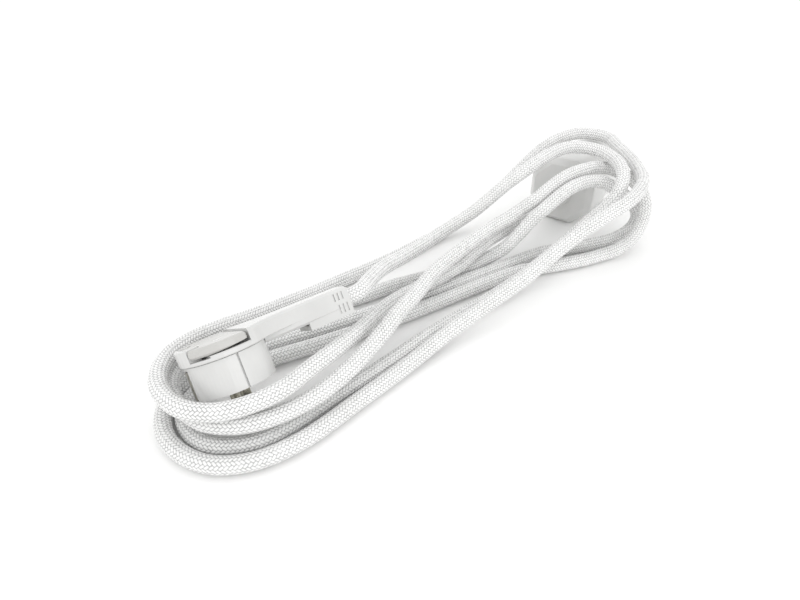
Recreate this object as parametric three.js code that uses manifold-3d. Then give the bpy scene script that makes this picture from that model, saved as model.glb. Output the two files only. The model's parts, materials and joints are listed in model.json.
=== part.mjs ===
// A mains extension lead: a flat earthed plug with a folding pull lever, about
// three metres of textile-braided three-core cord folded into a loose hank, and
// an earthed coupler socket. Millimetres, +Z up, +X from the plug to the socket.
import * as THREE from 'three'
import { mergeVertices } from 'three/addons/utils/BufferGeometryUtils.js'
import Module from 'manifold-3d'

const wasm = await Module()
wasm.setup()

// ---- driving dimensions -------------------------------------------------
const GAP = 0.3 // clearance between neighbouring pieces
const PIN_SPREAD = 9.5 // each contact's distance from the centre line
const CORD_D = 8.2 // cord drawn a little thin, so its folds stay apart
const CORE_R = 1.0 // insulated conductor

const PLUG_AT = [-159.4, -22.9, 35.7]
const PLUG_ROLL = THREE.MathUtils.degToRad(-32) // lever side leans back
const BASE_R = 19 // the round front that enters a socket
const BASE_DEPTH = 16
const BASE_WALL = 2
const FACE_THICK = 3
const PIN_R = 2.4
const PIN_REACH = 19 // bare pin beyond the front face
const RIM_R = 20.3
const RIM_TOP = 2.9
const NECK_START = 17
const NECK_END = 66
const NECK_HALF = 7.6
const NECK_BOTTOM = -2.6
const GRIP_START = 41
const GRIP_BOTTOM = -6
const BODY_TOP = 8.3
const CORD_LEVEL = 1.4 // cord axis above the plug's rim seat
const LEVER_AXIS = { x: -14.5, z: 5.4 }
const NOSE_R = 3 // lever nose about its hinge
const LIP_FACE = -17.8 // the rim curls up in front of the nose
const LEVER_END = 7.5
const LEVER_CORNER = 2.4 // round of the corners at the free end
const LEVER_CLEAR = 0.6 // from the free end to the shoulder of the neck
const LEVER_TOP = 7.6

const SOCKET_AT = [113.9, 12.1, 24]
const SOCKET_TURN = THREE.MathUtils.degToRad(15)
const GRIP_FLAT = 24 // centre to each flat of the eight-sided grip
const GRIP_LENGTH = 28
const CUP_R = 23.8
const SOCKET_LENGTH = 62
const RECESS_R = 19.8
const RECESS_DEPTH = 17.5
const PLATE_THICK = 3
const NECK_REACH = 22

// The cord's centre line from the plug's sleeve to the socket's neck: nine
// strands folded into a hank.
const CORD_ROUTE = [
  // out of the plug, over the hank
  [-92.4, -22.2, 36.9], [-83.5, -21.2, 37], [-71, -12.8, 34.4], [-54, -1.5, 30], [-34, 7, 25.5],
  [-15, 13.5, 23], [4, 19, 22.5], [22, 21, 24.5], [37, 19, 30], [48, 15.5, 38], [57, 11.5, 46],
  // right-hand fold over the socket
  [69, 8, 53], [85, 9, 56.5], [101, 11, 57.5], [114, 9.5, 58], [123, 1.5, 58], [126.5, -9, 57.5],
  [124, -20, 57], [117.5, -31, 56], [109, -39.5, 52.5], [101, -42.5, 46], [94, -40, 37.5],
  // back along the near side
  [85, -35.5, 28.5], [71, -33.5, 20.5], [50, -34.5, 14.5], [25, -36, 9.5], [0, -36.5, 6],
  [-27, -38, 5], [-53, -41, 5], [-80, -45, 5], [-120, -50, 5],
  // left-hand fold, inner, on the floor
  [-157, -54, 5], [-170.5, -50, 5], [-181, -41, 5], [-184, -28, 5], [-181, -15, 5], [-171, -6, 5],
  [-157, -3, 5],
  // to the right
  [-130, -5, 5], [-98, -11, 5], [-54, -17, 5], [-6, -20.5, 5], [14, -22, 5], [36, -25, 5],
  [62, -35, 5], [80, -41, 5],
  // fold up over the socket shoulder
  [93, -44, 5], [104, -47, 6], [114, -49, 9.3], [120.5, -50, 14.5], [125, -49.5, 20.5],
  [128, -48.5, 27], [130, -45.5, 34], [132, -39.5, 39.5], [133.5, -31.5, 43], [133, -23, 45],
  [127.5, -16, 47.5], [117, -12, 49.8], [105, -10.5, 50.5], [92, -9, 49.5],
  // to the left, across the hank
  [78, -8.8, 46], [65.5, -8, 40.5], [56, -4, 34.3], [45, -3.2, 31], [33, -2.5, 28.6],
  [14, -5.2, 26.5], [-8, -10, 25], [-30, -17, 24.5], [-51, -27, 24], [-66, -33, 23.5],
  [-82, -40.5, 22], [-97, -46, 20], [-112, -51, 18.5], [-132, -55.5, 17.5],
  // left-hand fold, middle layer
  [-150, -56, 17.5], [-167, -52, 18], [-179.5, -41, 18], [-184, -26, 18], [-184, -12, 18],
  [-178, 0, 16.5], [-167, 10, 13.5], [-150, 19, 7],
  // to the right
  [-128, 21, 5], [-96, 20, 5], [-60, 13.5, 5], [-38, 11, 5], [-19, 7, 5], [-1, 1.5, 5],
  [14, -3, 5.3], [26, -4.8, 8.2], [37, -10.2, 15], [47, -12.5, 23],
  // tight fold down to the floor
  [55, -14, 30], [64.5, -17, 38], [77, -17.7, 43.5], [89, -17.8, 46], [101, -19.5, 46.5],
  [112, -24, 44.5], [121, -28.5, 38.5], [128.5, -33, 32.5], [133.5, -37, 26], [135, -39.5, 19.5],
  [132.5, -40, 13.5], [125.5, -38.5, 8.5], [115.5, -35.7, 5.7], [101, -31, 5], [84, -25, 5],
  // to the left
  [66, -18, 5], [48, -15.8, 5], [30, -14.6, 5], [12, -13, 5], [-11, -11, 5], [-54, -6, 5],
  [-91, 0, 5], [-126, 7, 5], [-152, 9, 5],
  // left-hand fold, outer, on the floor
  [-172, 4, 5], [-187, -7, 5], [-193.5, -23, 5], [-192, -39, 5], [-184, -53, 5], [-169, -62, 5],
  [-147, -64.5, 5],
  // to the right, near side
  [-111, -59, 5], [-75, -53, 5.5], [-45, -49, 9], [-15, -48, 14], [14, -48, 20], [38, -49, 29],
  [57, -51.5, 37.5], [76, -54.5, 43.8], [93, -55.5, 47.8],
  // widest right-hand fold over the socket
  [108, -52.5, 50], [122, -45.5, 51], [133, -34, 52], [143.5, -20, 52.5], [153.5, -2.5, 53],
  [161, 11, 53.5], [159, 23, 53.5], [152, 31, 53.3], [139, 35.5, 51.8],
  // to the left, far side
  [122, 36.5, 48.5], [105, 36.5, 41.5], [87, 37, 31], [71, 39, 21.5], [57, 41.5, 13],
  [42, 43.5, 7.5], [25, 43, 5], [4, 40, 5], [-20, 37, 5], [-42, 36, 5], [-62, 35.5, 5],
  [-80, 33.5, 6], [-101, 29.5, 9], [-124, 23.5, 14], [-147, 17.5, 19.5],
  // left-hand fold, top layer
  [-165, 11, 23.3], [-178, 3, 25.5], [-187, -9.5, 26.7], [-190, -23, 27.5], [-187, -36.5, 27.5],
  [-177.5, -47, 27.5], [-165, -51.7, 27.5],
  // to the right, into the socket
  [-148, -52.5, 27.5], [-130, -47, 26.5], [-114, -41.5, 25], [-99, -35, 22.5], [-86, -28, 19.5],
  [-72, -20.5, 17], [-58, -15, 15.5], [-41, -12, 14.5], [-22, -10.5, 14.5], [-3, -8.5, 15],
  [16, -3.7, 16.4], [32, -0.7, 18.2], [47, 0.7, 19.5], [62, 1.7, 21.3], [74, 2.8, 22.8],
  [84, 4.2, 23.7], [92.4, 6.3, 24],
]

// ---- materials ----------------------------------------------------------
const finish = (color, roughness, metalness = 0) =>
  new THREE.MeshStandardMaterial({ color, roughness, metalness })
const white = finish(0xeeeeec, 0.28)
const warmWhite = finish(0xe9e8e1, 0.32)
const innerWhite = finish(0xd8d8d2, 0.5)
const braid = finish(0xe6e6e8, 0.7)
const nickel = finish(0xb9b8b0, 0.3, 1)
const brass = finish(0xc2a15a, 0.35, 1)
const steel = finish(0x9a9a98, 0.35, 1)
const rubber = finish(0xd0d0cc, 0.75)
const brownCore = finish(0x6b4226, 0.5)
const blueCore = finish(0x2f6fb5, 0.5)
const greenCore = finish(0x6f9a2e, 0.5)

// ---- solids -------------------------------------------------------------
function solid(geometry) {
  const bare = geometry.index ? geometry.toNonIndexed() : geometry.clone()
  bare.deleteAttribute('normal')
  bare.deleteAttribute('uv')
  const merged = mergeVertices(bare, 1e-4)
  return new wasm.Manifold(
    new wasm.Mesh({
      numProp: 3,
      vertProperties: new Float32Array(merged.attributes.position.array),
      triVerts: new Uint32Array(merged.index.array),
    }),
  )
}

function geometryOf(manifold) {
  const mesh = manifold.getMesh()
  const geometry = new THREE.BufferGeometry()
  geometry.setAttribute('position', new THREE.BufferAttribute(new Float32Array(mesh.vertProperties), 3))
  geometry.setIndex(new THREE.BufferAttribute(new Uint32Array(mesh.triVerts), 1))
  geometry.computeVertexNormals()
  return geometry
}

const join = (...parts) => parts.reduce((a, b) => a.add(b))
const cut = (body, ...tools) => tools.reduce((a, b) => a.subtract(b), body)

// Box between two corners.
function box(x0, x1, y0, y1, z0, z1) {
  const geometry = new THREE.BoxGeometry(x1 - x0, y1 - y0, z1 - z0)
  geometry.translate((x0 + x1) / 2, (y0 + y1) / 2, (z0 + z1) / 2)
  return solid(geometry)
}

// Cylinder along an axis ('x', 'y' or 'z') from one level to another.
function rod(axis, radius, from, to, a = 0, b = 0, sides = 24) {
  const geometry = new THREE.CylinderGeometry(radius, radius, to - from, sides)
  const middle = (from + to) / 2
  if (axis === 'x') {
    geometry.rotateZ(Math.PI / 2)
    geometry.translate(middle, a, b)
  } else if (axis === 'y') {
    geometry.translate(a, middle, b)
  } else {
    geometry.rotateX(Math.PI / 2)
    geometry.translate(a, b, middle)
  }
  return solid(geometry)
}

// Solid of revolution about X; the profile is [distance along X, radius] pairs.
function turned(profile, sides = 48) {
  const points = profile.map(([x, r]) => new THREE.Vector2(r, x))
  const geometry = new THREE.LatheGeometry(points, sides)
  geometry.rotateZ(-Math.PI / 2)
  return solid(geometry)
}

// Flat outline in XY, thickened from z0 to z1 with a chamfered edge.
function slab(shape, z0, z1, chamfer = 0) {
  const geometry = new THREE.ExtrudeGeometry(shape, {
    depth: z1 - z0 - 2 * chamfer,
    bevelEnabled: chamfer > 0,
    bevelThickness: chamfer,
    bevelSize: chamfer,
    bevelOffset: -chamfer,
    bevelSegments: 1,
    curveSegments: 16,
  })
  geometry.translate(0, 0, z0 + chamfer)
  return solid(geometry)
}

// Round bar along a list of points.
function strand(points, radius, steps, sides) {
  const section = new THREE.Shape()
  for (let i = 0; i < sides; i += 1) {
    const angle = (2 * Math.PI * i) / sides
    const x = radius * Math.cos(angle)
    const y = radius * Math.sin(angle)
    if (i === 0) section.moveTo(x, y)
    else section.lineTo(x, y)
  }
  section.closePath()
  const path = points instanceof THREE.Curve ? points : new THREE.CatmullRomCurve3(points)
  return new THREE.ExtrudeGeometry(section, { extrudePath: path, steps, bevelEnabled: false })
}

const core = (...points) => solid(strand(points.map((p) => new THREE.Vector3(...p)), CORE_R, 10, 8))

const part = new THREE.Group()
const plug = new THREE.Group()
plug.position.set(...PLUG_AT)
plug.rotation.x = PLUG_ROLL
const socket = new THREE.Group()
socket.position.set(...SOCKET_AT)
socket.rotation.z = SOCKET_TURN
part.add(plug, socket)

function place(group, name, material, manifold) {
  const mesh = new THREE.Mesh(geometryOf(manifold), material)
  mesh.name = name
  group.add(mesh)
}

// ---- plug: housing ------------------------------------------------------
// Cup that carries the pins: open towards the rim, a screw in its front face,
// an earth slot at each end of X and a thin guide groove at each end of Y.
function plugBase() {
  const front = -BASE_DEPTH
  const floor = front + FACE_THICK
  let body = rod('z', BASE_R, front, 0, 0, 0, 64)
  body = cut(body, rod('z', BASE_R - BASE_WALL, floor, 1, 0, 0, 48))
  for (const side of [-1, 1]) {
    const outer = side * (BASE_R + 1)
    const inner = side * (BASE_R - BASE_WALL - 0.2)
    body = cut(body, box(Math.min(inner, outer), Math.max(inner, outer), -3, 3, front - 1, -1.2))
    const groove = [side * (BASE_R - 1.3), side * (BASE_R + 1)].sort((a, b) => a - b)
    body = cut(body, box(-0.5, 0.5, groove[0], groove[1], front - 1, 1))
    body = cut(body, rod('z', PIN_R + GAP, front - 1, floor + 1, 0, side * PIN_SPREAD))
  }
  const screwSeat = rod('z', 3.1, front - 1, front + 1.8)
  const screwHole = rod('z', 1.6, front, floor + 1, 0, 0, 16)
  const wireNotch = box(14, BASE_R + 1, -5.2, 5.2, -3, 1)
  return cut(body, screwSeat, screwHole, wireNotch)
}

// Outline of the rim disc running into the neck, seen along Z.
function rimOutline() {
  const shape = new THREE.Shape()
  const neckAngle = Math.asin(NECK_HALF / RIM_R)
  const flare = neckAngle + 0.45
  shape.moveTo(GRIP_START, -NECK_HALF)
  shape.quadraticCurveTo(22, -NECK_HALF, RIM_R * Math.cos(flare), -RIM_R * Math.sin(flare))
  shape.absarc(0, 0, RIM_R, -flare, -2 * Math.PI + flare, true)
  shape.quadraticCurveTo(22, NECK_HALF, GRIP_START, NECK_HALF)
  shape.closePath()
  return shape
}

function neckOutline() {
  const shape = new THREE.Shape()
  shape.moveTo(NECK_START, -NECK_HALF - 1.2)
  shape.quadraticCurveTo(30, -NECK_HALF, GRIP_START, -NECK_HALF)
  shape.lineTo(NECK_END, -NECK_HALF + 0.6)
  shape.lineTo(NECK_END, NECK_HALF - 0.6)
  shape.lineTo(GRIP_START, NECK_HALF)
  shape.quadraticCurveTo(30, NECK_HALF, NECK_START, NECK_HALF + 1.2)
  shape.closePath()
  return shape
}

function plugBody() {
  const rim = slab(rimOutline(), GAP, RIM_TOP, 0.5)
  const neck = slab(neckOutline(), NECK_BOTTOM, BODY_TOP, 1.2)
  const overBase = rod('z', BASE_R + GAP, NECK_BOTTOM - 1, GAP, 0, 0, 64)
  const grip = box(GRIP_START, NECK_END, -NECK_HALF + 0.6, NECK_HALF - 0.6, GRIP_BOTTOM, 0)
  const relief = box(-22, LEVER_AXIS.x + 4, -22, 22, RIM_TOP - 0.9, RIM_TOP + 1)
  const raised = box(LEVER_END + LEVER_CLEAR, GRIP_START + 2, -22, 22, GAP, BODY_TOP)
  const shoulder = slab(rimOutline(), GAP, BODY_TOP, 1.2).intersect(raised)
  const lip = slab(rimOutline(), GAP, BODY_TOP - 0.3, 0.6).intersect(box(-22, LIP_FACE, -22, 22, GAP, BODY_TOP))
  const boss = rod('z', 3, -3, 1)
  let body = cut(join(rim, cut(neck, overBase), grip), relief)
  body = join(body, boss, lip, shoulder)
  for (const side of [-1, 1]) {
    const y = [side * 6.4, side * 8.8].sort((a, b) => a - b)
    body = join(body, box(LIP_FACE - 0.2, LEVER_AXIS.x + 2.2, y[0], y[1], 1, BODY_TOP - 0.5))
  }
  const hingeBore = rod('y', 1.2 + GAP, -10, 10, LEVER_AXIS.x, LEVER_AXIS.z, 16)
  const wirePocket = box(15, 58, -5.6, 5.6, GAP - 0.1, 2.2)
  const neckPocket = box(NECK_START, 58, -5.6, 5.6, NECK_BOTTOM - 1, 6.5)
  const gripPocket = box(GRIP_START + 2, 58, -6.3, 6.3, GRIP_BOTTOM - 1, 6.5)
  const cordBore = rod('x', 5.9, 57, NECK_END + 1, 0, CORD_LEVEL, 32)
  const screwBore = rod('z', 1.45, -4, 1.5, 0, 0, 16)
  body = cut(body, hingeBore, wirePocket, neckPocket, gripPocket, cordBore, screwBore)
  return cut(body, ...reliefSlots())
}

// Thin slots that let the cord end of the grip flex, on both sides.
function reliefSlots() {
  const slots = []
  for (const side of [-1, 1]) {
    const y = [side * 6.45, side * 9].sort((a, b) => a - b)
    for (let i = 0; i < 3; i += 1) {
      const upper = 57.2 + 2.3 * i
      const lower = upper + 1.2
      slots.push(box(upper, upper + 0.8, y[0], y[1], 2.6, 6.4))
      slots.push(box(lower, lower + 0.8, y[0], y[1], -4, 0.4))
    }
  }
  return slots
}

// Lid that closes the neck from below, stepped down where the grip is thicker.
function neckLid() {
  const thin = box(BASE_R + 2 * GAP, GRIP_START + 3.2, -5.3, 5.3, NECK_BOTTOM, NECK_BOTTOM + 1)
  const riser = box(GRIP_START + 2 + GAP, GRIP_START + 3.2, -5.3, 5.3, GRIP_BOTTOM, NECK_BOTTOM + 1)
  const deep = box(GRIP_START + 2 + GAP, 58 - GAP, -6, 6, GRIP_BOTTOM, GRIP_BOTTOM + 1)
  return join(thin, riser, deep)
}

// Folding pull lever: a thick pad over the rim, hinged at the nose.
function pullLever() {
  const radius = RIM_R - 0.3
  const half = Math.acos(LEVER_END / radius)
  const side = radius * Math.sin(half)
  const turn = LEVER_CORNER / radius
  const outline = new THREE.Shape()
  outline.absarc(0, 0, radius, half + turn, 2 * Math.PI - half - turn, false)
  outline.quadraticCurveTo(LEVER_END, -side, LEVER_END, LEVER_CORNER - side)
  outline.lineTo(LEVER_END, side - LEVER_CORNER)
  outline.quadraticCurveTo(
    LEVER_END, side, radius * Math.cos(half + turn), radius * Math.sin(half + turn),
  )
  const pad = slab(outline, RIM_TOP + GAP, LEVER_TOP, 1)
  const wedge = new THREE.Shape()
  wedge.moveTo(-10, RIM_TOP)
  wedge.lineTo(LEVER_END + 1, RIM_TOP)
  wedge.lineTo(LEVER_END + 1, RIM_TOP + 1.6)
  wedge.lineTo(-10, RIM_TOP + GAP)
  wedge.closePath()
  const wedgeBar = new THREE.ExtrudeGeometry(wedge, { depth: 44, bevelEnabled: false })
  wedgeBar.rotateX(Math.PI / 2)
  wedgeBar.translate(0, 22, 0)
  const nose = box(-22, LEVER_AXIS.x, -22, 22, 0, BODY_TOP + 1)
  const round = rod('y', NOSE_R, -22, 22, LEVER_AXIS.x, LEVER_AXIS.z, 24)
  let lever = join(cut(pad, nose), pad.intersect(nose).intersect(round))
  for (const ear of [-1, 1]) {
    const y = [ear * 6.1, ear * 9.1].sort((a, b) => a - b)
    lever = cut(lever, box(-22, LEVER_AXIS.x + 3.3, y[0], y[1], 0, BODY_TOP + 1))
  }
  const bore = rod('y', 1.2 + GAP, -9, 9, LEVER_AXIS.x, LEVER_AXIS.z, 16)
  return cut(lever, solid(wedgeBar), bore)
}

place(plug, 'plug_base', white, plugBase())
place(plug, 'plug_body', white, plugBody())
place(plug, 'plug_neck_lid', white, neckLid())
place(plug, 'pull_lever', warmWhite, pullLever())
place(plug, 'lever_hinge_pin', steel, rod('y', 1.2, -8.5, 8.5, LEVER_AXIS.x, LEVER_AXIS.z, 16))

// ---- plug: contacts and wiring -------------------------------------------
function plugPin(side) {
  const front = -BASE_DEPTH
  const tip = front - PIN_REACH
  const profile = [[tip, 0], [tip, 1.3], [tip + 0.7, 2.1], [tip + 1.8, PIN_R], [-5, PIN_R], [-5, 0]]
  const pin = new THREE.LatheGeometry(profile.map(([z, r]) => new THREE.Vector2(r, z)), 24)
  pin.rotateX(Math.PI / 2)
  pin.translate(0, side * PIN_SPREAD, 0)
  const head = box(-3.2, 3.2, side * PIN_SPREAD - 3.2, side * PIN_SPREAD + 3.2, -10, -3)
  return join(solid(pin), head)
}

function pinCarrier() {
  const plate = box(-8, 8, -14, 14, -12.6, -10.4)
  const holes = [-1, 1].map((side) => rod('z', PIN_R + GAP, -14, -9, 0, side * PIN_SPREAD))
  return cut(plate, ...holes, rod('z', 1.6, -14, -9, 0, 0, 16))
}

// One spring strip: an arm in each earth slot and a bridge between them.
function earthStrip() {
  const arms = [-1, 1].map((side) => {
    const x = [side * 18, side * 18.6].sort((a, b) => a - b)
    return box(x[0], x[1], -2.4, 2.4, -15.4, -2)
  })
  const bridge = box(-18.6, 18.6, -2.4, 2.4, -6.6, -6)
  return cut(join(...arms, bridge), rod('z', 1.6, -8, -5, 0, 0, 16))
}

place(plug, 'plug_pin_line', nickel, plugPin(1))
place(plug, 'plug_pin_neutral', nickel, plugPin(-1))
place(plug, 'plug_pin_carrier', innerWhite, pinCarrier())
place(plug, 'plug_earth_strip', nickel, earthStrip())
place(plug, 'plug_terminal_screw_line', brass, rod('z', 1.6, -2.7, -0.3, 0, PIN_SPREAD, 12))
place(plug, 'plug_terminal_screw_neutral', brass, rod('z', 1.6, -2.7, -0.3, 0, -PIN_SPREAD, 12))
place(plug, 'plug_terminal_screw_earth', brass, rod('z', 1.8, -5.7, -3.2, 6, 0, 12))
place(
  plug,
  'plug_housing_screw',
  steel,
  join(rod('z', 2.8, -15.6, -14.5), rod('z', 1.15, -15, 1.2, 0, 0, 12)),
)

const cordEnd = GRIP_START + 3.6 // where the sheath is stripped inside the grip
place(plug, 'plug_cord_end', braid, rod('x', 3.9, cordEnd, NECK_END, 0, CORD_LEVEL, 16))
place(
  plug,
  'plug_cord_sleeve',
  rubber,
  turned([[58.3, 4.3], [58.3, 5.5], [NECK_END, 5.5], [NECK_END, 4.3], [58.3, 4.3]], 24).translate([0, 0, CORD_LEVEL]),
)
const clampHoles = [-1, 1].map((side) => rod('z', 1.15, -6, 8, 49, side * 5.1, 12))
place(plug, 'plug_cord_clamp', innerWhite, cut(box(46, 52, -6, 6, -3.9, -2.9), ...clampHoles))
for (const [side, label] of [[-1, 'left'], [1, 'right']]) {
  const screw = join(rod('z', 1.1, -4.9, -4.2, 49, side * 5.1, 12), rod('z', 0.8, -4.5, 5.5, 49, side * 5.1, 12))
  place(plug, `plug_clamp_screw_${label}`, steel, screw)
}

const strip = cordEnd - GAP
place(
  plug,
  'plug_core_line',
  brownCore,
  core([strip, 2.4, 2.6], [32, 2.7, 1.4], [22, 2.7, 0], [16, 3, -1.4], [10, 6.2, -3.6], [4.6, 8.4, -6]),
)
place(
  plug,
  'plug_core_neutral',
  blueCore,
  core([strip, -2.4, 2.6], [32, -2.7, 1.4], [22, -2.7, 0], [16, -3, -1.4], [10, -6.2, -3.6], [4.6, -8.4, -6]),
)
place(plug, 'plug_core_earth', greenCore, core([strip, 0, 0.2], [32, 0, 0.6], [22, 0, 0], [16, 0, -1.4], [9.2, 0, -4.2]))

// ---- socket: housing ------------------------------------------------------
// Eight-sided grip with a bevelled rear edge, hollow, open towards the cup.
function socketGrip() {
  const corner = GRIP_FLAT / Math.cos(Math.PI / 8)
  const outline = new THREE.Shape()
  for (let i = 0; i < 8; i += 1) {
    const angle = Math.PI / 8 + (i * Math.PI) / 4
    const x = corner * Math.cos(angle)
    const y = corner * Math.sin(angle)
    if (i === 0) outline.moveTo(x, y)
    else outline.lineTo(x, y)
  }
  outline.closePath()
  const geometry = new THREE.ExtrudeGeometry(outline, {
    depth: GRIP_LENGTH - 4,
    bevelEnabled: true,
    bevelThickness: 4,
    bevelSize: 4,
    bevelOffset: -4,
    bevelSegments: 1,
  })
  geometry.translate(0, 0, 4)
  geometry.rotateY(Math.PI / 2)
  const blunt = box(-1, GRIP_LENGTH, -30, 30, -30, 30)
  const hollow = rod('x', 20.3, 4, GRIP_LENGTH + 1, 0, 0, 48)
  const boss = box(7.5, 13.5, -9.2, 9.2, -21, -4.4)
  const cordHole = rod('x', 7.3, -1, 5, 0, 0, 32)
  const screwHoles = [-1, 1].map((side) => rod('z', 1.5, -10, -4, 10.5, side * 7, 12))
  return cut(join(cut(solid(geometry).intersect(blunt), hollow), boss), cordHole, ...screwHoles)
}

// Round cup round the plug recess; its rear collar slides into the grip.
function socketCup() {
  const seat = SOCKET_LENGTH - RECESS_DEPTH - PLATE_THICK
  const start = GRIP_LENGTH + GAP
  return turned(
    [
      [24, 19], [24, 20], [start, 20], [start, CUP_R - 1], [start + 1, CUP_R],
      [SOCKET_LENGTH - 1, CUP_R], [SOCKET_LENGTH, CUP_R - 1], [SOCKET_LENGTH, RECESS_R + 0.8],
      [SOCKET_LENGTH - 0.8, RECESS_R], [seat - GAP, RECESS_R], [seat - GAP, 19], [24, 19],
    ],
    64,
  )
}

// Plate at the bottom of the recess, with two contact holes and two earth notches.
function socketFacePlate() {
  const floor = SOCKET_LENGTH - RECESS_DEPTH
  const plate = rod('x', RECESS_R - GAP, floor - PLATE_THICK, floor, 0, 0, 64)
  const pinHoles = [-1, 1].map((side) => rod('x', 3.1, floor - 4, floor + 1, side * PIN_SPREAD, 0))
  const earthNotches = [-1, 1].map((side) => {
    const z = [side * 17.6, side * 21].sort((a, b) => a - b)
    return box(floor - 4, floor + 1, -2.9, 2.9, z[0], z[1])
  })
  const screwSeat = rod('x', 3.1, floor - 1.8, floor + 1)
  const screwHole = rod('x', 1.7, floor - 4, floor + 1, 0, 0, 16)
  return cut(plate, ...pinHoles, ...earthNotches, screwSeat, screwHole)
}

// Tapered cord neck, held behind the grip's rear wall by its flange.
function socketNeck() {
  return turned(
    [
      [-NECK_REACH, 4.4], [-NECK_REACH, 6.2], [-NECK_REACH + 1, 6.8], [-GAP, 9.6], [-GAP, 7],
      [4.3, 7], [4.3, 9.6], [6, 9.6], [6, 4.4], [-NECK_REACH, 4.4],
    ],
    32,
  )
}

function contactInsert() {
  const block = rod('x', 17.4, 30, 41.1, 0, 0, 48)
  const holes = [-1, 1].map((side) => rod('x', 3.3, 29, 42, side * PIN_SPREAD, 0))
  return cut(block, ...holes, rod('x', 1.55, 33, 42, 0, 0, 16))
}

// Contact sleeve with a slit, and its terminal block.
function contactSleeve(side) {
  const y = side * PIN_SPREAD
  const sleeve = cut(rod('x', 3, 28, 40.9, y, 0), rod('x', 2.45, 30, 42, y, 0))
  const slit = box(33, 42, y - 4, y + 4, -0.4, 0.4)
  return join(cut(sleeve, slit), box(22, 29, y - 3.5, y + 3.5, -3.5, 3.5))
}

function socketEarthClip() {
  const arms = [-1, 1].map((side) => {
    const z = [side * 18, side * 18.6].sort((a, b) => a - b)
    return box(27.4, 58, -2.5, 2.5, z[0], z[1])
  })
  return join(...arms, box(27.4, 28, -2.5, 2.5, -18.6, 18.6))
}

place(socket, 'socket_grip', white, socketGrip())
place(socket, 'socket_cup', white, socketCup())
place(socket, 'socket_face_plate', white, socketFacePlate())
place(socket, 'socket_cord_neck', white, socketNeck())
place(socket, 'socket_contact_insert', innerWhite, contactInsert())
place(socket, 'socket_contact_line', brass, contactSleeve(1))
place(socket, 'socket_contact_neutral', brass, contactSleeve(-1))
place(socket, 'socket_earth_clip', nickel, socketEarthClip())
place(socket, 'socket_terminal_screw_line', brass, rod('z', 1.6, 3.8, 6.4, 25.5, PIN_SPREAD, 12))
place(socket, 'socket_terminal_screw_neutral', brass, rod('z', 1.6, 3.8, 6.4, 25.5, -PIN_SPREAD, 12))
place(socket, 'socket_terminal_screw_earth', brass, rod('x', 1.8, 24.4, 27.1, 0, -6, 12))
place(
  socket,
  'socket_insert_screw',
  steel,
  join(rod('x', 2.8, 43, 44.1), rod('x', 1.25, 34, 43.5, 0, 0, 12)),
)
place(socket, 'socket_cord_end', braid, rod('x', 3.9, -NECK_REACH, 14, 0, 0, 16))
const saddleHoles = [-1, 1].map((side) => rod('z', 1.5, 3, 8, 10.5, side * 7, 12))
place(socket, 'socket_cord_clamp', innerWhite, cut(box(8, 13, -9, 9, 4.3, 6.3), ...saddleHoles))
for (const [side, label] of [[-1, 'left'], [1, 'right']]) {
  const screw = join(rod('z', 2.3, 6.6, 8, 10.5, side * 7, 16), rod('z', 1.2, -8.5, 7, 10.5, side * 7, 12))
  place(socket, `socket_clamp_screw_${label}`, steel, screw)
}
place(socket, 'socket_core_line', brownCore, core([15, 2.3, 1.3], [17, 4.2, 1.2], [19.2, 7.4, 0.4], [21.1, 8.8, 0]))
place(socket, 'socket_core_neutral', blueCore, core([15, -2.3, 1.3], [17, -4.2, 1.2], [19.2, -7.4, 0.4], [21.1, -8.8, 0]))
place(socket, 'socket_core_earth', greenCore, core([15, 0, -2.4], [18, 0, -4.4], [21, 0, -5.8], [24.1, 0, -6]))

// ---- cord -----------------------------------------------------------------
// Short steps where the route bends, long ones where it runs straight.
const SAG = 0.5 // how far a straight step may cut inside a bend
const STEP_MIN = 9
const STEP_MAX = 36

function stations(curve) {
  const count = Math.round(curve.getLength())
  const fine = curve.getSpacedPoints(count)
  const reach = 8
  const chosen = [fine[0]]
  let travelled = 0
  for (let i = 1; i < count; i += 1) {
    const before = fine[Math.max(i - reach, 0)]
    const after = fine[Math.min(i + reach, count)]
    const turn = fine[i].clone().sub(before).angleTo(after.clone().sub(fine[i]))
    const radius = reach / Math.max(turn, 1e-6)
    const step = THREE.MathUtils.clamp(Math.sqrt(8 * radius * SAG), STEP_MIN, STEP_MAX)
    travelled += 1 / step
    if (travelled >= 1 && count - i > STEP_MIN) {
      chosen.push(fine[i])
      travelled -= 1
    }
  }
  chosen.push(fine[count])
  return chosen
}

// A curve that is read only at its stations.
class StationCurve extends THREE.Curve {
  constructor(points) {
    super()
    this.points = points
  }

  getPointAt(u) {
    return this.points[Math.round(u * (this.points.length - 1))].clone()
  }

  getPoint(u) {
    return this.getPointAt(u)
  }

  getTangentAt(u) {
    const i = Math.round(u * (this.points.length - 1))
    const before = this.points[Math.max(i - 1, 0)]
    const after = this.points[Math.min(i + 1, this.points.length - 1)]
    return after.clone().sub(before).normalize()
  }

  getTangent(u) {
    return this.getTangentAt(u)
  }
}

const route = CORD_ROUTE.map((p) => new THREE.Vector3(...p))
const cordPoints = stations(new THREE.CatmullRomCurve3(route, false, 'centripetal'))
const cordTube = strand(new StationCurve(cordPoints), CORD_D / 2, cordPoints.length - 1, 8)
place(part, 'cord', braid, solid(cordTube))

export default part
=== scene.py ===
"""Looks for a braided extension lead: the cord's braid, the moulded plug with its
pull lever, and the coupler socket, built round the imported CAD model."""

import json
import math

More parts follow.
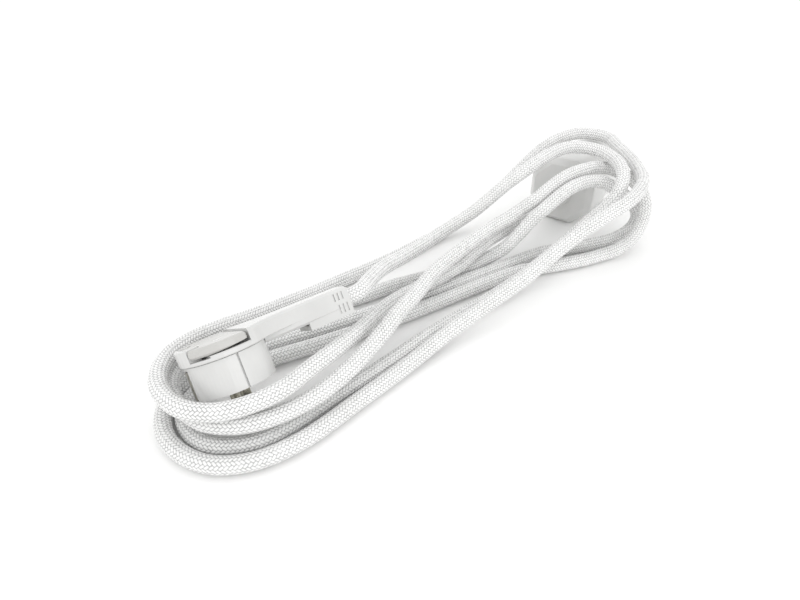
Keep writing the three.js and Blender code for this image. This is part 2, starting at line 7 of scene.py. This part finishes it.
import bmesh
import bpy
import numpy as np
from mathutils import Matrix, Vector


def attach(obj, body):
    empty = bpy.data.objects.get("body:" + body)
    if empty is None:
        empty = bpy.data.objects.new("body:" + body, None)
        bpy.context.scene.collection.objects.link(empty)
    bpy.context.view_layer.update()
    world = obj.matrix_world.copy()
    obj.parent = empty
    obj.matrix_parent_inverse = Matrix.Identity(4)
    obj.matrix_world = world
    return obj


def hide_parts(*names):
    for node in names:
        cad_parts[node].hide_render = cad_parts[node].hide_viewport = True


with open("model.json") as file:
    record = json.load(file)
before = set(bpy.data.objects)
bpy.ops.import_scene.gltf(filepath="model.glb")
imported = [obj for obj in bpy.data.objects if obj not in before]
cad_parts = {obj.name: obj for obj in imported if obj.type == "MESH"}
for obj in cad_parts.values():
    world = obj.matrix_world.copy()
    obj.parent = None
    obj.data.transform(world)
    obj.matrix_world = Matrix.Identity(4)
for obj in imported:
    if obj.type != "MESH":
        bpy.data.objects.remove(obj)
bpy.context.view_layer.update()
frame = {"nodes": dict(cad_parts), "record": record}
nodes = frame["nodes"]

# ---- camera -------------------------------------------------------------------
CAMERA_AT = Vector((-0.2356, -0.2503, 0.220))
CAMERA_HEADING = math.radians(-38)  # turned from +Y towards +X
CAMERA_PITCH = math.radians(34.5)  # below the horizon

camera_data = bpy.data.cameras.new("camera")
camera_data.lens = 28.8
camera_data.sensor_width = 36
camera_data.clip_start = 0.01
camera_data.clip_end = 20
camera = bpy.data.objects.new("camera", camera_data)
camera.location = CAMERA_AT
camera.rotation_euler = (math.pi / 2 - CAMERA_PITCH, 0, CAMERA_HEADING)
bpy.context.scene.collection.objects.link(camera)
bpy.context.scene.camera = camera

# ---- cord ---------------------------------------------------------------------
CORD_D = 0.0086
CORD_ROUTE = [
    # out of the plug, over the hank
    (-0.0924, -0.0222, 0.0369), (-0.0835, -0.0212, 0.037), (-0.071, -0.0128, 0.0344),
    (-0.054, -0.0015, 0.03), (-0.034, 0.007, 0.0255),
    (-0.015, 0.0135, 0.023), (0.004, 0.019, 0.0225), (0.022, 0.021, 0.0245), (0.037, 0.019, 0.03),
    (0.048, 0.0155, 0.038), (0.057, 0.0115, 0.046),
    # right-hand fold over the socket
    (0.069, 0.008, 0.053), (0.085, 0.009, 0.0565), (0.101, 0.011, 0.0575), (0.114, 0.0095, 0.058),
    (0.123, 0.0015, 0.058), (0.1265, -0.009, 0.0575),
    (0.124, -0.02, 0.057), (0.1175, -0.031, 0.056), (0.109, -0.0395, 0.0525), (0.101, -0.0425, 0.046),
    (0.094, -0.04, 0.0375),
    # back along the near side
    (0.085, -0.0355, 0.0285), (0.071, -0.0335, 0.0205), (0.05, -0.0345, 0.0145),
    (0.025, -0.036, 0.0095), (0, -0.0365, 0.006),
    (-0.027, -0.038, 0.005), (-0.053, -0.041, 0.005), (-0.08, -0.045, 0.005), (-0.12, -0.05, 0.005),
    # left-hand fold, inner, on the floor
    (-0.157, -0.054, 0.005), (-0.1705, -0.05, 0.005), (-0.181, -0.041, 0.005), (-0.184, -0.028, 0.005),
    (-0.181, -0.015, 0.005), (-0.171, -0.006, 0.005),
    (-0.157, -0.003, 0.005),
    # to the right
    (-0.13, -0.005, 0.005), (-0.098, -0.011, 0.005), (-0.054, -0.017, 0.005), (-0.006, -0.0205, 0.005),
    (0.014, -0.022, 0.005), (0.036, -0.025, 0.005),
    (0.062, -0.035, 0.005), (0.08, -0.041, 0.005),
    # fold up over the socket shoulder
    (0.093, -0.044, 0.005), (0.104, -0.047, 0.006), (0.114, -0.049, 0.0093), (0.1205, -0.05, 0.0145),
    (0.125, -0.0495, 0.0205),
    (0.128, -0.0485, 0.027), (0.13, -0.0455, 0.034), (0.132, -0.0395, 0.0395), (0.1335, -0.0315, 0.043),
    (0.133, -0.023, 0.045),
    (0.1275, -0.016, 0.0475), (0.117, -0.012, 0.0498), (0.105, -0.0105, 0.0505),
    (0.092, -0.009, 0.0495),
    # to the left, across the hank
    (0.078, -0.0088, 0.046), (0.0655, -0.008, 0.0405), (0.056, -0.004, 0.0343), (0.045, -0.0032, 0.031),
    (0.033, -0.0025, 0.0286),
    (0.014, -0.0052, 0.0265), (-0.008, -0.01, 0.025), (-0.03, -0.017, 0.0245), (-0.051, -0.027, 0.024),
    (-0.066, -0.033, 0.0235),
    (-0.082, -0.0405, 0.022), (-0.097, -0.046, 0.02), (-0.112, -0.051, 0.0185),
    (-0.132, -0.0555, 0.0175),
    # left-hand fold, middle layer
    (-0.15, -0.056, 0.0175), (-0.167, -0.052, 0.018), (-0.1795, -0.041, 0.018), (-0.184, -0.026, 0.018),
    (-0.184, -0.012, 0.018),
    (-0.178, 0, 0.0165), (-0.167, 0.01, 0.0135), (-0.15, 0.019, 0.007),
    # to the right
    (-0.128, 0.021, 0.005), (-0.096, 0.02, 0.005), (-0.06, 0.0135, 0.005), (-0.038, 0.011, 0.005),
    (-0.019, 0.007, 0.005), (-0.001, 0.0015, 0.005),
    (0.014, -0.003, 0.0053), (0.026, -0.0048, 0.0082), (0.037, -0.0102, 0.015), (0.047, -0.0125, 0.023),
    # tight fold down to the floor
    (0.055, -0.014, 0.03), (0.0645, -0.017, 0.038), (0.077, -0.0177, 0.0435), (0.089, -0.0178, 0.046),
    (0.101, -0.0195, 0.0465),
    (0.112, -0.024, 0.0445), (0.121, -0.0285, 0.0385), (0.1285, -0.033, 0.0325),
    (0.1335, -0.037, 0.026), (0.135, -0.0395, 0.0195),
    (0.1325, -0.04, 0.0135), (0.1255, -0.0385, 0.0085), (0.1155, -0.0357, 0.0057),
    (0.101, -0.031, 0.005), (0.084, -0.025, 0.005),
    # to the left
    (0.066, -0.018, 0.005), (0.048, -0.0158, 0.005), (0.03, -0.0146, 0.005), (0.012, -0.013, 0.005),
    (-0.011, -0.011, 0.005), (-0.054, -0.006, 0.005),
    (-0.091, 0, 0.005), (-0.126, 0.007, 0.005), (-0.152, 0.009, 0.005),
    # left-hand fold, outer, on the floor
    (-0.172, 0.004, 0.005), (-0.187, -0.007, 0.005), (-0.1935, -0.023, 0.005), (-0.192, -0.039, 0.005),
    (-0.184, -0.053, 0.005), (-0.169, -0.062, 0.005),
    (-0.147, -0.0645, 0.005),
    # to the right, near side
    (-0.111, -0.059, 0.005), (-0.075, -0.053, 0.0055), (-0.045, -0.049, 0.009), (-0.015, -0.048, 0.014),
    (0.014, -0.048, 0.02), (0.038, -0.049, 0.029),
    (0.057, -0.0515, 0.0375), (0.076, -0.0545, 0.0438), (0.093, -0.0555, 0.0478),
    # widest right-hand fold over the socket
    (0.108, -0.0525, 0.05), (0.122, -0.0455, 0.051), (0.133, -0.034, 0.052), (0.1435, -0.02, 0.0525),
    (0.1535, -0.0025, 0.053),
    (0.161, 0.011, 0.0535), (0.159, 0.023, 0.0535), (0.152, 0.031, 0.0533), (0.139, 0.0355, 0.0518),
    # to the left, far side
    (0.122, 0.0365, 0.0485), (0.105, 0.0365, 0.0415), (0.087, 0.037, 0.031), (0.071, 0.039, 0.0215),
    (0.057, 0.0415, 0.013),
    (0.042, 0.0435, 0.0075), (0.025, 0.043, 0.005), (0.004, 0.04, 0.005), (-0.02, 0.037, 0.005),
    (-0.042, 0.036, 0.005), (-0.062, 0.0355, 0.005),
    (-0.08, 0.0335, 0.006), (-0.101, 0.0295, 0.009), (-0.124, 0.0235, 0.014), (-0.147, 0.0175, 0.0195),
    # left-hand fold, top layer
    (-0.165, 0.011, 0.0233), (-0.178, 0.003, 0.0255), (-0.187, -0.0095, 0.0267),
    (-0.19, -0.023, 0.0275), (-0.187, -0.0365, 0.0275),
    (-0.1775, -0.047, 0.0275), (-0.165, -0.0517, 0.0275),
    # to the right, into the socket
    (-0.148, -0.0525, 0.0275), (-0.13, -0.047, 0.0265), (-0.114, -0.0415, 0.025),
    (-0.099, -0.035, 0.0225), (-0.086, -0.028, 0.0195),
    (-0.072, -0.0205, 0.017), (-0.058, -0.015, 0.0155), (-0.041, -0.012, 0.0145),
    (-0.022, -0.0105, 0.0145), (-0.003, -0.0085, 0.015),
    (0.016, -0.0037, 0.0164), (0.032, -0.0007, 0.0182), (0.047, 0.0007, 0.0195),
    (0.062, 0.0017, 0.0213), (0.074, 0.0028, 0.0228),
    (0.084, 0.0042, 0.0237), (0.0924, 0.0063, 0.024),
]
RING_STEP = 0.0004
RING_SIDES = 64
CARRIERS = 14  # yarns in each direction
BRAID_PITCH = 0.0019  # along the cord, from one yarn to the next
BRAID_RELIEF = 0.00026
YARN_PLUMP = 0.5  # lower is a fuller yarn with narrower gaps
YARN_TAPER = 0.7  # lower is a stitch with blunter ends
SLEEVE_REACH = 0.002  # how far the cord runs on into the plug and the socket


def centripetal(points, per_span=24):
    """Centripetal Catmull-Rom curve through the points."""
    pts = [np.array(p) for p in points]
    pts = [2 * pts[0] - pts[1], *pts, 2 * pts[-1] - pts[-2]]
    out = []
    for p0, p1, p2, p3 in zip(pts, pts[1:], pts[2:], pts[3:]):
        d0, d1, d2 = (np.sum((b - a) ** 2) ** 0.25 for a, b in ((p0, p1), (p1, p2), (p2, p3)))
        t1 = ((p1 - p0) / d0 - (p2 - p0) / (d0 + d1) + (p2 - p1) / d1) * d1
        t2 = ((p2 - p1) / d1 - (p3 - p1) / (d1 + d2) + (p3 - p2) / d2) * d1
        for k in range(per_span):
            t = k / per_span
            out.append(
                p1 + t1 * t + (-3 * p1 + 3 * p2 - 2 * t1 - t2) * t**2 + (2 * p1 - 2 * p2 + t1 + t2) * t**3
            )
    out.append(pts[-2])
    return np.array(out)


def resample(points, step):
    """The same line at even steps."""
    run = np.concatenate([[0], np.cumsum(np.linalg.norm(np.diff(points, axis=0), axis=1))])
    count = int(round(run[-1] / step))
    where = np.linspace(0, run[-1], count + 1)
    return np.stack([np.interp(where, run, points[:, i]) for i in range(3)], axis=1), where


def rotation_frames(line):
    """Tangents and twist-free side vectors along a line."""
    tangent = np.gradient(line, axis=0)
    tangent /= np.linalg.norm(tangent, axis=1)[:, None]
    side = np.zeros_like(line)
    start = np.cross(tangent[0], (0, 0, 1))
    side[0] = start / np.linalg.norm(start)
    for i in range(1, len(line)):
        flat = side[i - 1] - tangent[i] * (side[i - 1] @ tangent[i])
        side[i] = flat / np.linalg.norm(flat)
    return tangent, side


def braid_height(along, turn):
    """Relief of the braid, 0 in the gaps and 1 on the yarns. turn runs from 0 to 1 round the cord.

    Each yarn passes over two and under two, so the stitches stand in a herringbone.
    """
    a = CARRIERS * turn + along / BRAID_PITCH
    b = CARRIERS * turn - along / BRAID_PITCH
    crossing = (np.floor(a) + np.floor(b)) % 4
    over = crossing < 2
    across = np.where(over, a, b) % 1
    lengthwise = np.where(over, crossing + b % 1, crossing - 2 + a % 1) / 2
    swell = 0.1 + 0.9 * np.sin(np.pi * lengthwise) ** YARN_TAPER
    return np.sin(np.pi * across) ** YARN_PLUMP * swell


def grid_mesh(name, coords, uv):
    """Tube mesh from rings x sides coordinates, with a UV map of metres along and turns round."""
    count, sides = coords.shape[:2]
    verts = coords.reshape(-1, 3)
    ring = np.arange(count - 1)[:, None] * sides
    j = np.arange(sides)[None, :]
    k = (j + 1) % sides
    faces = np.stack([ring + j, ring + k, ring + sides + k, ring + sides + j], axis=2).reshape(-1, 4)
    mesh = bpy.data.meshes.new(name)
    mesh.vertices.add(len(verts))
    mesh.vertices.foreach_set("co", verts.astype(np.float32).ravel())
    ends = [list(range(sides))[::-1], list(range((count - 1) * sides, count * sides))]
    loops = np.concatenate([faces.ravel(), np.array(ends).ravel()])
    totals = np.concatenate([np.full(len(faces), 4), np.full(2, sides)])
    starts = np.concatenate([[0], np.cumsum(totals)[:-1]])
    mesh.loops.add(len(loops))
    mesh.loops.foreach_set("vertex_index", loops.astype(np.int32))
    mesh.polygons.add(len(totals))
    mesh.polygons.foreach_set("loop_start", starts.astype(np.int32))
    mesh.polygons.foreach_set("loop_total", totals.astype(np.int32))
    mesh.polygons.foreach_set("use_smooth", np.ones(len(totals), bool))
    turn = np.broadcast_to(j / sides, (count - 1, sides))
    low = np.broadcast_to(uv[:-1, None], (count - 1, sides))
    high = np.broadcast_to(uv[1:, None], (count - 1, sides))
    corner = np.stack(
        [
            np.stack([low, turn], -1),
            np.stack([low, turn + 1 / sides], -1),
            np.stack([high, turn + 1 / sides], -1),
            np.stack([high, turn], -1),
        ],
        axis=2,
    ).reshape(-1, 2)
    corner = np.concatenate([corner, np.zeros((2 * sides, 2))])
    layer = mesh.uv_layers.new(name="along_and_round")
    layer.data.foreach_set("uv", corner.astype(np.float32).ravel())
    mesh.update()
    mesh.validate()
    return mesh


def build_cord():
    line, _ = resample(centripetal(CORD_ROUTE), RING_STEP)
    lead_in = line[0] - (line[1] - line[0]) / RING_STEP * SLEEVE_REACH
    lead_out = line[-1] + (line[-1] - line[-2]) / RING_STEP * SLEEVE_REACH
    line, run = resample(np.concatenate([[lead_in], line, [lead_out]]), RING_STEP)
    tangent, side = rotation_frames(line)
    up = np.cross(tangent, side)
    turn = np.arange(RING_SIDES) / RING_SIDES
    height = braid_height(run[:, None], turn[None, :])
    radius = CORD_D / 2 - BRAID_RELIEF * (1 - height)
    angle = 2 * np.pi * turn
    around = side[:, None, :] * np.cos(angle)[None, :, None] + up[:, None, :] * np.sin(angle)[None, :, None]
    coords = line[:, None, :] + around * radius[:, :, None]
    mesh = grid_mesh("cord_braid", coords, run)
    piece = bpy.data.objects.new("cord_braid", mesh)
    bpy.context.scene.collection.objects.link(piece)
    return piece, line, run[-1]


cord, cord_line, cord_length = build_cord()
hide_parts("cord")
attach(cord, "root")


# ---- materials ------------------------------------------------------------------
class Nodes:
    """A few short helpers over one material's node tree."""

    def __init__(self, name):
        self.material = bpy.data.materials.new(name)
        self.material.use_nodes = True
        self.tree = self.material.node_tree
        self.shader = self.tree.nodes["Principled BSDF"]

    def add(self, kind, **settings):
        node = self.tree.nodes.new(kind)
        for key, value in settings.items():
            if key in node.inputs:
                node.inputs[key].default_value = value
            else:
                setattr(node, key, value)
        return node

    def link(self, source, target):
        self.tree.links.new(source, target)

    def math(self, operation, a, b=None):
        node = self.tree.nodes.new("ShaderNodeMath")
        node.operation = operation
        for slot, value in enumerate((a, b)):
            if value is None:
                continue
            if isinstance(value, (int, float)):
                node.inputs[slot].default_value = value
            else:
                self.link(value, node.inputs[slot])
        return node.outputs[0]

    def ramp(self, factor, stops):
        node = self.tree.nodes.new("ShaderNodeValToRGB")
        elements = node.color_ramp.elements
        for element, (at, colour) in zip(elements, stops):
            element.position = at
            element.color = colour
        for at, colour in stops[2:]:
            elements.new(at).color = colour
        self.link(factor, node.inputs[0])
        return node.outputs[0]

    def bump(self, height, strength, distance, before=None):
        node = self.add("ShaderNodeBump", Strength=strength, Distance=distance)
        self.link(height, node.inputs["Height"])
        if before is not None:
            self.link(before, node.inputs["Normal"])
        return node.outputs["Normal"]


def braid_material():
    """Herringbone braid on the cord's UV map: metres along in U, turns round in V."""
    n = Nodes("white_braid")
    uv = n.add("ShaderNodeUVMap", uv_map="along_and_round").outputs[0]
    split = n.add("ShaderNodeSeparateXYZ")
    n.link(uv, split.inputs[0])
    around = n.math("MULTIPLY", split.outputs[1], float(CARRIERS))
    length = n.math("DIVIDE", split.outputs[0], BRAID_PITCH)
    a = n.math("ADD", around, length)
    b = n.math("SUBTRACT", around, length)
    cell_a, cell_b = n.math("FLOOR", a), n.math("FLOOR", b)
    crossing = n.math("FLOORED_MODULO", n.math("ADD", cell_a, cell_b), 4.0)
    over = n.math("LESS_THAN", crossing, 1.5)
    under = n.math("SUBTRACT", 1.0, over)
    fa, fb = n.math("FRACT", a), n.math("FRACT", b)
    across = n.math("ADD", n.math("MULTIPLY", fa, over), n.math("MULTIPLY", fb, under))
    beyond = n.math("ADD", n.math("MULTIPLY", fb, over), n.math("MULTIPLY", fa, under))
    step = n.math("SUBTRACT", crossing, n.math("MULTIPLY", under, 2.0))
    lengthwise = n.math("DIVIDE", n.math("ADD", step, beyond), 2.0)
    hump = n.math("SINE", n.math("MULTIPLY", across, math.pi))
    swell = n.math("SINE", n.math("MULTIPLY", lengthwise, math.pi))
    height = n.math("MULTIPLY", n.math("POWER", hump, YARN_PLUMP), n.math("POWER", swell, YARN_TAPER))
    # fine filaments along each yarn
    filaments = n.math("SINE", n.math("MULTIPLY", across, math.pi * 12))
    relief = n.math("ADD", height, n.math("MULTIPLY", filaments, 0.06))
    stitch = n.add("ShaderNodeCombineXYZ")
    own = n.math("ADD", n.math("MULTIPLY", cell_a, over), n.math("MULTIPLY", cell_b, under))
    n.link(own, stitch.inputs[0])
    n.link(n.math("FLOOR", n.math("MULTIPLY", length, 0.5)), stitch.inputs[1])
    tone = n.add("ShaderNodeTexWhiteNoise", noise_dimensions="2D")
    n.link(stitch.outputs[0], tone.inputs["Vector"])
    # colour follows the yarn height: painted shade darkens the gaps between yarns and a painted highlight
    # lightens the yarn crowns a little; a random tone per stitch is added on top
    stitch_tone_and_painted_shade = n.math("ADD", height, n.math("MULTIPLY", n.math("SUBTRACT", tone.outputs[0], 0.5), 0.18))
    colour = n.ramp(
        stitch_tone_and_painted_shade,
        [
            (0.12, (0.42, 0.42, 0.42, 1)),
            (0.45, (0.88, 0.88, 0.875, 1)),
            (0.9, (0.97, 0.97, 0.965, 1)),
        ],
    )
    cloud = n.add("ShaderNodeTexNoise", Scale=40.0, Detail=2.0)
    n.link(n.add("ShaderNodeTexCoord").outputs["Object"], cloud.inputs["Vector"])
    soft = n.add("ShaderNodeMixRGB", blend_type="MULTIPLY")
    soft.inputs[0].default_value = 0.5
    n.link(colour, soft.inputs[1])
    n.link(n.ramp(cloud.outputs[0], [(0.3, (0.9, 0.9, 0.89, 1)), (0.7, (1, 1, 1, 1))]), soft.inputs[2])
    n.link(soft.outputs[0], n.shader.inputs["Base Color"])
    n.link(n.math("ADD", 0.2, n.math("MULTIPLY", tone.outputs[0], 0.25)), n.shader.inputs["Roughness"])
    n.shader.inputs["Sheen Weight"].default_value = 0.2
    n.link(n.bump(relief, 0.8, 0.0003), n.shader.inputs["Normal"])
    return n.material


def cord_end_material():
    """The same braid on the short cord ends inside the grips: crossing yarns on object coordinates."""
    n = Nodes("cord_end_braid")
    place = n.add("ShaderNodeTexCoord").outputs["Object"]
    split = n.add("ShaderNodeSeparateXYZ")
    n.link(place, split.inputs[0])
    length = n.math("DIVIDE", split.outputs[0], BRAID_PITCH)
    spread = n.math("DIVIDE", split.outputs[1], BRAID_PITCH)
    ridges = n.math("SINE", n.math("MULTIPLY", n.math("ADD", length, spread), math.pi))
    crossing = n.math("SINE", n.math("MULTIPLY", n.math("SUBTRACT", length, spread), math.pi))
    height = n.math("ABSOLUTE", n.math("MULTIPLY", ridges, crossing))
    # darker where the yarns dip: painted shade in the gaps between yarns
    colour = n.ramp(height, [(0.05, (0.34, 0.34, 0.36, 1)), (0.6, (0.8, 0.8, 0.81, 1))])
    n.link(colour, n.shader.inputs["Base Color"])
    n.shader.inputs["Roughness"].default_value = 0.6
    n.link(n.bump(height, 0.8, 0.0002), n.shader.inputs["Normal"])
    return n.material


def plastic_material(name, colour, roughness, flow=0.02):
    """Moulded plastic: slight tone change, faint polish marks and a very fine texture."""
    n = Nodes(name)
    place = n.add("ShaderNodeTexCoord").outputs["Object"]
    tone = n.add("ShaderNodeTexNoise", Scale=45.0, Detail=3.0)
    n.link(place, tone.inputs["Vector"])
    low = tuple(c * (1 - flow * 2) for c in colour[:3]) + (1,)
    high = tuple(min(c * (1 + flow), 1) for c in colour[:3]) + (1,)
    n.link(n.ramp(tone.outputs[0], [(0.35, low), (0.65, high)]), n.shader.inputs["Base Color"])
    smear = n.add("ShaderNodeTexNoise", Scale=130.0, Detail=2.0)
    n.link(place, smear.inputs["Vector"])
    polish = n.math("ADD", roughness - 0.05, n.math("MULTIPLY", smear.outputs[0], 0.1))
    n.link(polish, n.shader.inputs["Roughness"])
    fine = n.add("ShaderNodeTexNoise", Scale=2200.0, Detail=2.0)
    n.link(place, fine.inputs["Vector"])
    wave = n.add("ShaderNodeTexNoise", Scale=70.0, Detail=1.0)
    n.link(place, wave.inputs["Vector"])
    swell = n.bump(wave.outputs[0], 0.12, 0.0006)
    n.link(n.bump(fine.outputs[0], 0.05, 0.00003, swell), n.shader.inputs["Normal"])
    n.shader.inputs["Subsurface Weight"].default_value = 0.08
    n.shader.inputs["Subsurface Radius"].default_value = (0.0012, 0.0011, 0.001)
    n.shader.inputs["Coat Weight"].default_value = 0.15
    return n.material


def metal_material(name, colour, roughness):
    """Plated or drawn metal with fine streaks."""
    n = Nodes(name)
    place = n.add("ShaderNodeTexCoord").outputs["Object"]
    stretch = n.add("ShaderNodeMapping")
    stretch.inputs["Scale"].default_value = (900, 900, 60)
    n.link(place, stretch.inputs["Vector"])
    streak = n.add("ShaderNodeTexNoise", Scale=1.0, Detail=3.0)
    n.link(stretch.outputs[0], streak.inputs["Vector"])
    dark = tuple(c * 0.8 for c in colour[:3]) + (1,)
    n.link(n.ramp(streak.outputs[0], [(0.3, dark), (0.7, colour)]), n.shader.inputs["Base Color"])
    polish = n.math("ADD", roughness - 0.06, n.math("MULTIPLY", streak.outputs[0], 0.12))
    n.link(polish, n.shader.inputs["Roughness"])
    n.shader.inputs["Metallic"].default_value = 1.0
    n.link(n.bump(streak.outputs[0], 0.08, 0.00004), n.shader.inputs["Normal"])
    return n.material


WHITE = plastic_material("white_plastic", (0.66, 0.66, 0.65, 1), 0.2)
LEVER = plastic_material("lever_plastic", (0.54, 0.535, 0.515, 1), 0.26)
INNER = plastic_material("inner_plastic", (0.6, 0.6, 0.57, 1), 0.5)
SLEEVE = plastic_material("sleeve_rubber", (0.6, 0.6, 0.58, 1), 0.7)
BROWN = plastic_material("brown_core", (0.22, 0.11, 0.05, 1), 0.5)
BLUE = plastic_material("blue_core", (0.05, 0.17, 0.45, 1), 0.5)
GREEN = plastic_material("green_core", (0.2, 0.36, 0.06, 1), 0.5)
NICKEL = metal_material("nickel_contact", (0.5, 0.48, 0.4, 1), 0.28)
BRASS = metal_material("brass_contact", (0.72, 0.55, 0.28, 1), 0.32)
STEEL = metal_material("screw_steel", (0.55, 0.55, 0.55, 1), 0.33)
BRAID = braid_material()
CORD_END = cord_end_material()
SLOT_MATERIAL = {
    "shell": WHITE,
    "lever_plastic": LEVER,
    "inner_plastic": INNER,
    "braid": CORD_END,
    "sleeve_rubber": SLEEVE,
    "nickel_contact": NICKEL,
    "brass_contact": BRASS,
    "screw_steel": STEEL,
    "brown_core": BROWN,
    "blue_core": BLUE,
    "green_core": GREEN,
}


def paint(piece, material):
    piece.data.materials.clear()
    piece.data.materials.append(material)


paint(cord, BRAID)
for row in frame["record"]["subparts"]:
    paint(nodes[row["node"]], SLOT_MATERIAL[row["material_slot"]])


# ---- socket grip ---------------------------------------------------------------------
SOCKET_AT = Vector((0.1139, 0.0121, 0.024))
SOCKET_TURN = math.radians(15)
GRIP_FLAT = 0.02395  # centre to each of the eight flats
GRIP_FILLET = 0.004  # radius on the eight long corners
GRIP_SIDES = 96  # points round each ring
GRIP_SECTION = [  # distance from the rear, how far the outline is drawn in
    (0.0, 0.0166),
    (0.0, 0.0049),
    (0.0002, 0.0043),
    (0.0008, 0.0034),
    (0.0034, 0.0008),
    (0.0041, 0.0003),
    (0.0051, 0.0),
    (0.0270, 0.0),
    (0.0277, 0.0003),
    (0.0280, 0.0010),
    (0.0280, 0.0036),
    (0.0040, 0.0036),
    (0.0040, 0.0166),
]


def octagon_radius(angle, flat, fillet):
    """Distance from the centre to a rounded octagon in one direction."""
    turn = (angle + math.pi / 8) % (math.pi / 4) - math.pi / 8
    corner = math.tan(math.pi / 8)
    start = math.atan2((flat - fillet) * corner, flat)
    if abs(turn) <= start:
        return flat / math.cos(turn)
    centre = (flat - fillet) / math.cos(math.pi / 8)
    off = math.pi / 8 - abs(turn)
    return centre * math.cos(off) + math.sqrt(max(fillet**2 - (centre * math.sin(off)) ** 2, 0))


def socket_grip():
    """Moulded grip: a rounded octagon drawn in at the rear, with its wall turned inwards."""
    mesh = bmesh.new()
    rings = []
    for along, inset in GRIP_SECTION:
        flat = GRIP_FLAT - inset
        fillet = min(GRIP_FILLET, flat * 0.9)
        ring = []
        for i in range(GRIP_SIDES):
            angle = 2 * math.pi * i / GRIP_SIDES
            radius = octagon_radius(angle, flat, fillet)
            at = (along, radius * math.cos(angle), radius * math.sin(angle))
            ring.append(mesh.verts.new(at))
        rings.append(ring)
    rings.append(rings[0])
    for low, high in zip(rings, rings[1:]):
        for i in range(GRIP_SIDES):
            j = (i + 1) % GRIP_SIDES
            mesh.faces.new((low[i], low[j], high[j], high[i]))
    for face in mesh.faces:
        face.smooth = True
    bmesh.ops.recalc_face_normals(mesh, faces=mesh.faces)
    data = bpy.data.meshes.new("socket_grip_shell")
    mesh.to_mesh(data)
    mesh.free()
    piece = bpy.data.objects.new("socket_grip_shell", data)
    piece.location = SOCKET_AT
    piece.rotation_euler = (0, 0, SOCKET_TURN)
    bpy.context.scene.collection.objects.link(piece)
    return piece


grip = socket_grip()
paint(grip, WHITE)
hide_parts("socket_grip")
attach(grip, "root")


# ---- softened edges on the CAD pieces ------------------------------------------------
def smooth_group(limit):
    """Node group that shades smooth and keeps edges above the limit sharp."""
    group = bpy.data.node_groups.new("smooth_by_angle", "GeometryNodeTree")
    group.interface.new_socket("Geometry", in_out="INPUT", socket_type="NodeSocketGeometry")
    group.interface.new_socket("Geometry", in_out="OUTPUT", socket_type="NodeSocketGeometry")
    start = group.nodes.new("NodeGroupInput")
    end = group.nodes.new("NodeGroupOutput")
    faces = group.nodes.new("GeometryNodeSetShadeSmooth")
    edges = group.nodes.new("GeometryNodeSetShadeSmooth")
    edges.domain = "EDGE"
    angle = group.nodes.new("GeometryNodeInputMeshEdgeAngle")
    above = group.nodes.new("FunctionNodeCompare")
    above.operation = "GREATER_THAN"
    above.inputs["B"].default_value = limit
    faces.inputs["Shade Smooth"].default_value = True
    edges.inputs["Shade Smooth"].default_value = False
    group.links.new(start.outputs[0], faces.inputs["Geometry"])
    group.links.new(faces.outputs[0], edges.inputs["Geometry"])
    group.links.new(angle.outputs[0], above.inputs["A"])
    group.links.new(above.outputs[0], edges.inputs["Selection"])
    group.links.new(edges.outputs[0], end.inputs[0])
    return group


SMOOTH = smooth_group(math.radians(32))
SMALL_EDGE = 0.00012
EDGE_WIDTH = {  # moulded edges rounder than the rest
    "plug_base": 0.0004,
    "plug_body": 0.0004,
    "plug_neck_lid": 0.0002,
    "pull_lever": 0.0006,
    "socket_cup": 0.0005,
    "socket_face_plate": 0.0003,
    "socket_cord_neck": 0.0004,
}


def soften(piece, width):
    bevel = piece.modifiers.new("soft_edges", "BEVEL")
    bevel.width = width
    bevel.segments = 3
    bevel.limit_method = "ANGLE"
    bevel.angle_limit = math.radians(30)
    smooth = piece.modifiers.new("smooth", "NODES")
    smooth.node_group = SMOOTH
    weigh = piece.modifiers.new("flat_faces", "WEIGHTED_NORMAL")
    weigh.keep_sharp = True


for row in frame["record"]["subparts"]:
    if row["node"] not in ("cord", "socket_grip"):
        soften(nodes[row["node"]], EDGE_WIDTH.get(row["node"], SMALL_EDGE))
soften(grip, 0.0001)


# ---- floor and light --------------------------------------------------------------
FLOOR_HALF = 6.0
WORLD_STRENGTH = 1.06
LIGHTS = [  # name, place, aim, diameter, watts
    ("key", (-0.9, -0.2, 1.3), (0, 0, 0), 0.9, 0.9),
    ("top", (0.2, 0.5, 1.6), (0, 0, 0), 1.4, 2.5),
    ("fill", (-0.1, -1.1, 0.45), (0.05, 0, 0.02), 0.8, 1.6),
]


def floor():
    mesh = bpy.data.meshes.new("floor")
    corners = [(-1, -1), (1, -1), (1, 1), (-1, 1)]
    mesh.from_pydata([(x * FLOOR_HALF, y * FLOOR_HALF, 0) for x, y in corners], [], [(0, 1, 2, 3)])
    piece = bpy.data.objects.new("floor", mesh)
    bpy.context.scene.collection.objects.link(piece)
    n = Nodes("floor")
    n.shader.inputs["Base Color"].default_value = (0.97, 0.97, 0.965, 1)
    n.shader.inputs["Roughness"].default_value = 0.9
    n.shader.inputs["Specular IOR Level"].default_value = 0.1
    paint(piece, n.material)


def area_light(name, at, target, size, power):
    data = bpy.data.lights.new(name, "AREA")
    data.shape = "DISK"
    data.size = size
    data.energy = power
    light = bpy.data.objects.new(name, data)
    light.location = at
    light.rotation_euler = (Vector(target) - Vector(at)).to_track_quat("-Z", "Y").to_euler()
    bpy.context.scene.collection.objects.link(light)


floor()
for light in LIGHTS:
    area_light(*light)
world = bpy.data.worlds.new("studio")
world.use_nodes = True
world.node_tree.nodes["Background"].inputs[0].default_value = (1, 1, 1, 1)
world.node_tree.nodes["Background"].inputs[1].default_value = WORLD_STRENGTH
bpy.context.scene.world = world
bpy.context.scene.view_settings.view_transform = "Standard"
